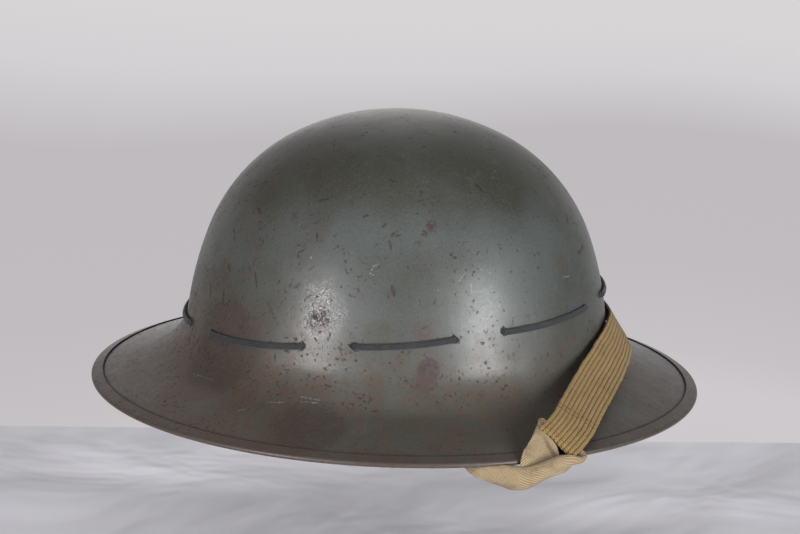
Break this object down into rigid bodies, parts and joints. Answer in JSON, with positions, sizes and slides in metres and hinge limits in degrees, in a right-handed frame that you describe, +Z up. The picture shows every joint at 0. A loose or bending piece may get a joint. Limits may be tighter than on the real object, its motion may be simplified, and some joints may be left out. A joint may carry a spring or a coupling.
{
  "type": "civil defence helmet",
  "caption": "High-crowned steel helmet with a wide sloping brim, a laced tape cradle and headband inside, and an elastic chin strap put up over the front of the crown.",
  "frame": {"origin": "centre of the bounding box at its lowest face, where the tie tapes' rolls touch the floor, 11.4 mm below the brim's lower edge", "axes": "+X to the wearer's front, +Y to the wearer's left, +Z up out of the crown"},
  "size_m": [0.31, 0.2914, 0.15],
  "materials": {
    "grey_paint": "worn grey-green paint, satin, with rust specks and scratches",
    "worn_edge_paint": "worn paint rubbed to reddish primer",
    "grey_lace": "dull round lace, painted over with the shell",
    "cotton_tape": "unbleached cotton, soiled",
    "felt": "dense grey felt",
    "leathercloth": "dark brown leathercloth, low sheen",
    "thread": "linen thread",
    "brass": "dulled brass",
    "white_cord": "cotton cord",
    "elastic_webbing": "worn elastic webbing with fraying edges"
  },
  "bodies": {
    "helmet": {"shell": "grey_paint", "edge_strip": "worn_edge_paint", "lace": "grey_lace", "cradle_tape_front_right": "cotton_tape", "cradle_tape_side_right": "cotton_tape", "cradle_tape_side_left": "cotton_tape", "cradle_tape_front_left": "cotton_tape", "crown_felt": "felt", "crown_facing": "leathercloth", "crown_stitches": "thread", "headband": "leathercloth", "headband_felt": "felt", "bartacks": "thread", "back_eyelets": "brass", "back_cord": "white_cord", "strap_eyelet_right": "brass", "strap_eyelet_left": "brass"},
    "chin_strap": {"chin_strap": "elastic_webbing", "strap_stitches_right": "thread", "strap_stitches_left": "thread", "tie_tape_right": "cotton_tape", "tie_tape_left": "cotton_tape"}
  },
  "joints": [
    {"name": "chin_strap_swing", "type": "hinge", "parent": "helmet", "child": "chin_strap", "pos_m": [0, 0, 0.0334], "axis": [0, 1, 0], "range_deg": [0, 100], "deforming": ["chin_strap", "strap_stitches_right", "strap_stitches_left", "tie_tape_right", "tie_tape_left"]}
  ]
}
